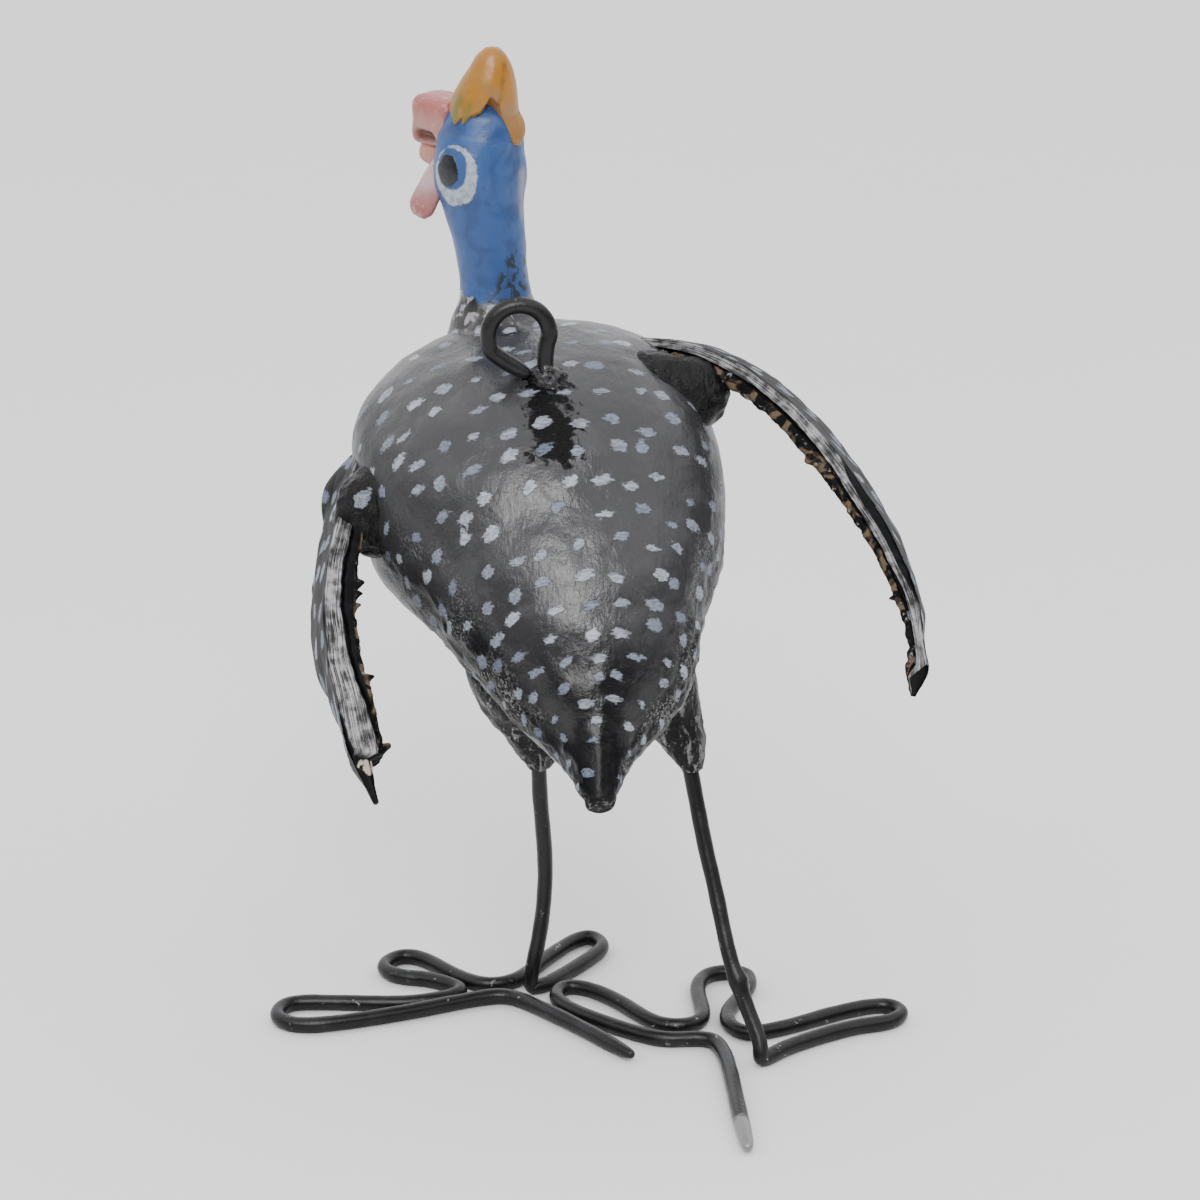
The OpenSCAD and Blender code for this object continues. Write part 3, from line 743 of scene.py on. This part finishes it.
def head_coords(points):
    """Forward, left and up of each point in the head's own frame."""
    p = points - HEAD_CENTRE
    forward = p[..., 0] * math.sin(HEAD_TURN) - p[..., 1] * math.cos(HEAD_TURN)
    left = p[..., 0] * math.cos(HEAD_TURN) + p[..., 1] * math.sin(HEAD_TURN)
    return forward, left, p[..., 2]


def head_place(forward, left, up):
    return HEAD_CENTRE + np.array([
        forward * math.sin(HEAD_TURN) + left * math.cos(HEAD_TURN),
        -forward * math.cos(HEAD_TURN) + left * math.sin(HEAD_TURN),
        up,
    ])


def eye_marks(grid):
    """The painted ring and pupil of both eyes, as depths inside each shape."""
    forward, left, up = head_coords(grid)
    ring = np.full(grid.shape[:2], -5.0)
    pupil = ring.copy()
    for side in (1, -1):
        a = (forward + 1.7) * 0.974 + (left * side - 6.8) * 0.227
        b = up + 2.4
        here = left * side > 0
        outer = inside_oval(a - 0.6, b, 4.1, 4.8)
        hole = inside_oval(a - 1.1, b - 1.2, 2.8, 3.2)
        ring = np.where(here, np.maximum(ring, np.minimum(outer, -hole)), ring)
        pupil = np.where(here, np.maximum(pupil, inside_oval(a - 1.75, b - 0.75, 2.2, 2.6)), pupil)
    return ring, pupil


neck = neck_grid()
*neck_rows, neck_sizes = dab_rows(neck[:NECK_STEPS * 5], 10, 4.0, 4.8, 42, seed=21)
neck_dabs = Dabs(*neck_rows, 1.3 * neck_sizes, 0.85 * neck_sizes, seed=22)
ring_mark, pupil_mark = eye_marks(neck)
# Painted highlight: the pale streak runs along these two lines at the right edge of the neck and head
edge_highlight_gap = np.minimum(near_line(neck, (4.8, -33.5, 127), (5.2, -33, 116)),
                       near_line(neck, (6.3, -34.4, 132), (6.0, -34, 126)))
neck_marks = {
    "scuff": 3.6 - near_line(neck, (8.8, -30.5, 114.4), (7.6, -31.4, 117.6)),
    "edge_highlight": 2.1 - edge_highlight_gap,
    "ring": ring_mark,
    "pupil": pupil_mark,
    **neck_dabs.marks(neck),
}
settle(piece_from("neck_and_head_pulp", neck, neck_marks), "blue_pulp", neck_paint("neck_enamel"), "neck_skin", "head")


def crown_at(height):
    """Centre and radius of the head and casque together at a height."""
    head_path, casque_path = smooth(HEAD, 12), smooth(CASQUE, 12)

    def at(path, column):
        return np.interp(height, path[:, 2], path[:, column])

    head_r = np.where(height > HEAD[-1][2], 0, at(head_path, 3))
    casque_r = np.where(height < CASQUE[0][2], 0, at(casque_path, 3))
    upper = step(height, 139, 143.5)
    centre = [at(head_path, c) * (1 - upper) + at(casque_path, c) * upper for c in (0, 1)]
    return np.stack([*centre, height], axis=-1), np.maximum(head_r, casque_r)


def casque_grid(count=70, sides=144):
    """A cap of thick paint and pulp from the tip down to its zigzag edge, with a run at the nape."""
    a = ring_angles(sides)
    edge = np.interp(np.degrees(a), *np.array(CASQUE_EDGE).T)
    edge += 0.35 * noise(np.stack([np.cos(a), np.sin(a), a * 0], axis=-1), 0.12, 1)
    top = CASQUE[-1][2] + 0.6
    down = np.linspace(0, 1, count)[:, None] ** 0.9
    height = top + (edge[None, :] - top) * down
    centre, radius = crown_at(np.clip(height, None, CASQUE[-1][2]))
    dome = np.clip((top - height) / 0.9, 0, 1)
    radius = np.maximum(radius * np.sqrt(1 - (1 - dome) ** 2), 0.02)
    thick = (0.05 + 0.2 * step(down, 0.2, 0.7)) * (1 - step(down, 0.93, 1.0)) - 0.5 * step(down, 0.97, 1.0)
    gap = (np.degrees(a)[None, :] - 164) / 17
    thick = thick + 0.38 * np.exp(-gap**2 - ((height - 139.4) / 2.3) ** 2) * (1 - step(down, 0.9, 1.0))
    radius = radius + thick * np.clip(dome * 3, 0, 1)
    around = np.stack([np.cos(a), np.sin(a), a * 0], axis=-1)[None]
    grid = centre + around * radius[..., None]
    grid[..., 2] = height
    return raised(grid, 0.10 * noise(grid, 3, 1) * (down < 0.95))


casque = casque_grid()
casque_marks = {
    "line": 0.75 - near_line(casque, (9.6, -33.4, 149.6), (10.8, -32.2, 143.4)),
    "green": 1.5 - np.minimum(near_line(casque, (16.2, -34.2, 144.6), (17.4, -35, 140.8)),
                              near_line(casque, (14.8, -33.2, 143.6), (15.4, -33.4, 141.6))),
}
settle(piece_from("casque_cap", casque, casque_marks), "ochre_pulp", casque_paint("casque_ochre"), "casque")


def beak_grid(stations, power, sides=96):
    path = smooth(stations, 16)
    centres = np.array([head_place(f, 0, u) for f, u in path[:, :2]])
    left = np.tile(head_place(0, 1, 0) - HEAD_CENTRE, (len(path), 1))
    up = np.tile([0.0, 0, 1], (len(path), 1))
    return rings(centres, left, up, path[:, 2], path[:, 3], power, sides)


def mouth_depth(grid):
    """How far inside either corner of the mouth each point lies."""
    spots = [near_line(grid, head_place(10, s * 3.6, 1.5), head_place(7.4, s * 4.2, 1.5)) for s in (1, -1)]
    return 2.1 - np.minimum(*spots)


upper = beak_grid(UPPER_BEAK, 4)
mouth = mouth_depth(upper)
upper = raised(upper, 0.18 * noise(upper, 3, 2) - 1.3 * step(mouth, 0, 1.8))
settle(piece_from("beak_upper", upper, {"mouth": mouth}), "pink_pulp",
       pink_paint("beak_pink", (0.42, 0.185, 0.15, 1), (0.38, 0.10, 0.095, 1), 139, 142.5), "upper_beak")
lower = beak_grid(LOWER_BEAK, 2.4)
lower = raised(lower, 0.15 * noise(lower, 2.5, 3))
settle(piece_from("beak_lower", lower, {"mouth": mouth_depth(lower) - 0.5}), "pink_pulp",
       pink_paint("jaw_pink", (0.44, 0.21, 0.15, 1), (0.40, 0.15, 0.11, 1), 134, 132), "lower_beak")

wattle_pink = pink_paint("wattle_pink", (0.50, 0.36, 0.38, 1), (0.34, 0.12, 0.11, 1), 131.5, 126.5)
for side, name in ((1, "left"), (-1, "right")):
    places = [[*head_place(f, side * s, u), r] for f, s, u, r in WATTLE]
    wattle = lump_grid(places, 16, 72, 0.5, head_place(1, 0, 0) - HEAD_CENTRE)
    wattle = raised(wattle, 0.14 * noise(wattle, 2.2, 4))
    settle(piece_from(f"wattle_{name}_flap", wattle, {"mouth": np.full(wattle.shape[:2], -2.0)}),
           "pink_pulp", wattle_pink, f"wattle_{name}")

# ---------------------------------------------------------------- wings


def wing_section(chord, thick, rim_start, rim_end, lip_start):
    """One section of a wing, from the front edge over the outer face, rear edge and inner face.

    Each row is a place forward of the rear edge, a place outwards, the weight of the rim's painted highlight and that
    of the lip.
    """
    half = thick / 2
    t = np.linspace(0, 1, 23)[:-1]
    nose = half * np.sqrt(np.clip(1 - (1 - t) ** 3, 0, 1))
    none = np.zeros_like(t)
    outer = np.stack([chord * (1 - t), nose, none, none], axis=1)
    s = np.linspace(1, -1, 60)[1:-1]
    hollow = 0.35 * np.sin(math.pi * np.clip((rim_start - s) / (rim_start - rim_end), 0, 1))
    groove = 0.9 * np.exp(-(((s - rim_end + 0.1) / 0.11) ** 2))
    bevel = 0.9 * np.clip((s - rim_start) / (1 - rim_start), 0, 1) ** 1.5
    depth = (hollow + groove + bevel + 0.4 * s**8) * min(1, chord / 9)
    rim_highlight = step(s, rim_end - 0.04, rim_end + 0.06) * (1 - step(s, rim_start - 0.06, rim_start + 0.05))
    lip = 1 - step(s, lip_start - 0.05, lip_start + 0.05)
    rear = np.stack([depth, half * s, rim_highlight, lip], axis=1)
    forward = chord * (1 - t[:0:-1])
    inner = np.stack([forward, -nose[:0:-1], none[1:], np.exp(-forward / 1.3)], axis=1)
    return np.vstack([outer, rear, inner])


def wing_grid(stations, chord_dir, outwards, bands, ledge, seed, steps=30):
    """A wing with a ragged lip. Past the ledge only the outer blade goes on to the tip."""
    path = smooth(stations, steps)
    edge = path[:, :3]
    t = tangents(edge)
    forward = unit(np.asarray(chord_dir) - (t @ np.asarray(chord_dir))[:, None] * t)
    out = np.cross(t, forward)
    out *= np.sign((out @ np.asarray(outwards)).sum())
    part = np.linspace(0, 1, len(path))
    table = np.array(bands)
    grid, rim_highlight, lip = [], [], []
    for i, (chord, thick) in enumerate(path[:, 3:5]):
        waver = [0.10 * noise(edge[i] + seed, 4, c) + 0.06 * noise(edge[i] + seed, 1.5, c) for c in (1, 2, 3)]
        limits = [min(np.interp(part[i], table[:, 0], table[:, c]) + w, 0.98) for c, w in zip((1, 2, 3), waver)]
        section = wing_section(max(chord, 0.9), max(thick, 0.5), *limits)
        slant = 0.022 * section[:, 1] / max(thick, 0.5) + 0.006 * noise(section[:, [0, 1, 1]] + seed, 0.8)
        blade = step(part[i] + slant, ledge, ledge + 0.012)
        across = section[:, 1] * (1 - 0.42 * blade) + 0.21 * thick * blade
        fray = 0.5 * noise(edge[i] + seed, 1.1) + 0.35 * noise(edge[i] + seed, 0.55)
        spike = 1.7 * max(0.0, noise(edge[i] + seed, 1.5, 2) - 0.38) ** 0.8
        torn = section[:, 3] * (1 - blade) * (0.45 * fray + 1.2 * spike)
        wavy = 0.25 * noise(edge[i] + seed, 6, 3)
        grid.append(edge[i] + forward[i] * (section[:, 0] - 0.5 * torn)[:, None]
                    + out[i] * (across - torn + wavy)[:, None])
        rim_highlight.append(section[:, 2] * (1 - blade))
        lip.append(section[:, 3] * (1 - blade))
    grid, lip = np.array(grid), np.array(lip)
    coarse = 0.16 * noise(grid, 4, seed) + 0.08 * noise(grid, 1.8, seed + 1)
    return raised(grid, coarse + 0.22 * lip * noise(grid, 0.9, seed + 2)), np.array(rim_highlight), lip


def wing_dabs(grid, seed):
    """Dabs in rows on the outer face, the inner face and the inner part of the rear edge."""
    rng = np.random.default_rng(seed)
    count, sides = grid.shape[:2]
    centres, across, along = [], [], []
    columns = (5, 11, 17, 86, 93, 99)
    for i in range(8, count - 4, 19):
        for place, k in enumerate(columns):
            j = int(np.clip(i + 9 * (place % 2) + rng.normal(0, 2), 1, count - 2))
            m = int(k + rng.normal(0, 0.6)) % sides
            centres.append(grid[j, m])
            across.append(unit(grid[j, (m + 1) % sides] - grid[j, m - 1]))
            along.append(unit(grid[j + 1, m] - grid[j - 1, m]))
    return Dabs(np.array(centres), np.array(across), np.array(along), 2.1, 1.35, seed + 1)


def no_marks(grid, *names):
    return {name: np.full(grid.shape[:2], -5.0) for name in names}


wing_black = wing_paint("wing_enamel")
for name, stations, chord_dir, outwards, bands, ledge, seed in (
    ("wing_left", LEFT_WING, LEFT_CHORD, (1, 0, 0.2), LEFT_BANDS, 0.872, 3),
    ("wing_right", RIGHT_WING, RIGHT_CHORD, (-0.6, 0, 0.8), RIGHT_BANDS, 1.0, 6),
):
    wing, rim_highlight, lip = wing_grid(stations, chord_dir, outwards, bands, ledge, seed)
    patch = 1.5 - near_line(wing, (37.6, 22.4, 57.9), (36.8, 22.6, 57.2))
    marks = {"rim_highlight": rim_highlight, "lip": lip, "patch": patch, **wing_dabs(wing, seed + 40).marks(wing)}
    tip = step(np.linspace(0, 1, len(wing)), 0.88, 0.9)[:, None]
    marks["dab"] -= 2.5 * np.maximum(np.maximum(rim_highlight, lip), tip)
    settle(piece_from(f"{name}_pulp", wing, marks), "black_pulp", wing_black, name)

# ---------------------------------------------------------------- pulp lumps


def lone_dab(grid, place, half_w, half_h):
    across, along = np.array([[0.5, -0.3, 0.2]]), np.array([[0, 0.3, 0.95]])
    return Dabs([place], unit(across), unit(along), half_w, half_h, 5)


dark_pulp = pulp_paint("root_pulp", -0.12)
for name, stations, place in (
    ("wing_root_left", LEFT_ROOT, (35.2, -8, 88.4)),
    ("wing_root_right", RIGHT_ROOT, (-9, -11, 103)),
):
    root = lump_grid(stations, 20, 96, 0.75, (0, 0, 1))
    root = raised(root, 0.5 * noise(root, 3, 7) + 0.28 * noise(root, 1.3, 8))
    marks = lone_dab(root, place, 1.05, 1.4).marks(root)
    settle(piece_from(f"{name}_gusset", root, marks), "black_pulp", dark_pulp, name)

grey_pulp = pulp_paint("thigh_pulp", 0.08)
for name, stations in (("thigh_left", LEFT_THIGH), ("thigh_right", RIGHT_THIGH)):
    thigh = lump_grid(stations, 24, 120)
    near_body = gap_to(body_tree, thigh)
    crease = 1.5 * np.exp(-((near_body / 1.3) ** 2))
    height = 0.55 * noise(thigh, 4, 9) + 0.35 * noise(thigh * (1, 1, 0.5), 1.6, 10) + 0.14 * noise(thigh, 0.8, 11)
    thigh = raised(thigh, height * step(-thigh[..., 2], -66, -44.5) - crease)
    settle(piece_from(f"{name}_pulp", thigh, no_marks(thigh, "dab", "tone")), "black_pulp", grey_pulp, name)

glue = lump_grid(GLUE, 18, 72)
glue = raised(glue, 0.7 * noise(glue, 2.2, 12) + 0.45 * noise(glue, 1.1, 13))
settle(piece_from("eye_glue_blob", glue), "black_glue", glue_paint("black_glue"), "eye_glue")

# ---------------------------------------------------------------- wires


def round_wire(node, name, marks_at, lumps=()):
    """A smooth round wire from a node's faceted one, with any lumps of paint added."""
    mesh = nodes[node].data.copy()
    shape = bmesh.new()
    shape.from_mesh(mesh)
    bmesh.ops.remove_doubles(shape, verts=shape.verts, dist=1e-6)
    bmesh.ops.join_triangles(shape, faces=shape.faces, angle_face_threshold=math.radians(35),
                             angle_shape_threshold=math.radians(50))
    shape.to_mesh(mesh)
    shape.free()
    piece = bpy.data.objects.new(name, mesh)
    bpy.context.scene.collection.objects.link(piece)
    piece.modifiers.new("round", "SUBSURF").levels = 2
    fine = bpy.data.meshes.new_from_object(piece.evaluated_get(bpy.context.evaluated_depsgraph_get()))
    piece.modifiers.clear()
    piece.data = fine
    points = np.array([v.co for v in fine.vertices]) / MM - SHIFT
    outwards = np.array([v.normal for v in fine.vertices])
    height = 0.12 + 0.05 * noise(points, 3, 14) + 0.03 * noise(points, 1.2, 15)
    for place, size in lumps:
        height = height + size * np.exp(-(np.linalg.norm(points - place, axis=1) / 1.4) ** 2)
    points = points + outwards * height[:, None]
    fine.vertices.foreach_set("co", ((points + SHIFT) * MM).reshape(-1))
    add_marks(fine, {"bare": marks_at(points)}, extra=0)
    return piece


wire_black = wire_paint("wire_enamel")
settle(round_wire("leg_wire_left", "leg_left", lambda p: p[:, 0] * 0 - 6), "black_wire", wire_black, "leg_wire_left")
settle(round_wire("leg_wire_right", "leg_right", lambda p: p[:, 1] - 35.5, [((-21.6, 9.4, 12.5), 0.7)]),
       "black_wire", wire_black, "leg_wire_right")
settle(round_wire("hanging_eye", "eye_wire", lambda p: p[:, 0] * 0 - 6), "black_wire",
       wire_paint("eye_enamel"), "hanging_eye")

# Pieces inside the pulp keep their CAD shapes
inner_wire = bare_wire("armature_wire")
for name in ("spine_wire", "wing_wire_left", "wing_wire_right"):
    nodes[name].data.materials.clear()
    nodes[name].data.materials.append(inner_wire)
nodes["body_core"].data.materials.clear()
nodes["body_core"].data.materials.append(plain_paper("wadded_paper"))

# ---------------------------------------------------------------- camera, light and floor


def aimed(thing, place, target):
    thing.location = place
    thing.rotation_euler = (Vector(target) - Vector(place)).to_track_quat("-Z", "Y").to_euler()


def viewpoint(azimuth, elevation, distance, target):
    a, e = math.radians(azimuth), math.radians(elevation)
    away = np.array([math.sin(a) * math.cos(e), -math.cos(a) * math.cos(e), math.sin(e)])
    return tuple(np.array(target) + away * distance)


TARGET = (0.0022, 0.02565, 0.082)
camera = bpy.data.objects.new("camera", bpy.data.cameras.new("camera"))
camera.data.lens = 122.4
camera.data.sensor_width = 36
camera.data.clip_start = 0.01
aimed(camera, viewpoint(172, 20, 0.6, TARGET), TARGET)
bpy.context.scene.collection.objects.link(camera)
bpy.context.scene.camera = camera


def softbox(name, azimuth, elevation, distance, size, power, sheen_only=False):
    light = bpy.data.objects.new(name, bpy.data.lights.new(name, "AREA"))
    light.data.shape = "DISK"
    light.data.size = size
    light.data.energy = power
    light.visible_diffuse = not sheen_only
    aimed(light, viewpoint(azimuth, elevation, distance, TARGET), TARGET)
    bpy.context.scene.collection.objects.link(light)


softbox("key", 178, 44, 0.9, 0.36, 4.0)
softbox("left_fill", 235, 35, 1.1, 0.7, 1.2)
softbox("right_fill", 115, 30, 1.1, 0.7, 1.0)
softbox("sheen", 158, 38, 0.9, 0.5, 4.5, sheen_only=True)


def surroundings():
    """A pale studio: bright overhead and beyond the figure, dim behind the camera."""
    world = bpy.data.worlds.new("studio")
    world.use_nodes = True
    tree = world.node_tree
    background = tree.nodes["Background"]
    coords = tree.nodes.new("ShaderNodeTexCoord")
    facing = tree.nodes.new("ShaderNodeVectorMath")
    facing.operation = "DOT_PRODUCT"
    facing.inputs[1].default_value = (0.03, -0.42, 0.91)
    spread = tree.nodes.new("ShaderNodeMapRange")
    spread.interpolation_type = "SMOOTHSTEP"
    for key, value in (("From Min", -0.08), ("From Max", 0.72), ("To Min", 0.07), ("To Max", 1.9)):
        spread.inputs[key].default_value = value
    tree.links.new(coords.outputs["Generated"], facing.inputs[0])
    tree.links.new(facing.outputs["Value"], spread.inputs["Value"])
    tree.links.new(spread.outputs[0], background.inputs["Strength"])
    background.inputs["Color"].default_value = (1.0, 1.0, 1.02, 1)
    bpy.context.scene.world = world


def pale_floor():
    mesh = bpy.data.meshes.new("floor")
    reach = 4.0
    mesh.from_pydata([(-reach, -reach, 0), (reach, -reach, 0), (reach, reach, 0), (-reach, reach, 0)], [], [(0, 1, 2, 3)])
    floor = bpy.data.objects.new("floor", mesh)
    bpy.context.scene.collection.objects.link(floor)
    paint = Paint("floor_paper")
    tint = paint.blend(paint.noise(60, 2), (0.86, 0.86, 0.86, 1), (0.88, 0.88, 0.88, 1))
    mesh.materials.append(paint.done(tint, 0.9, paint.bump(paint.noise(1, 2), 0.01)))


surroundings()
pale_floor()
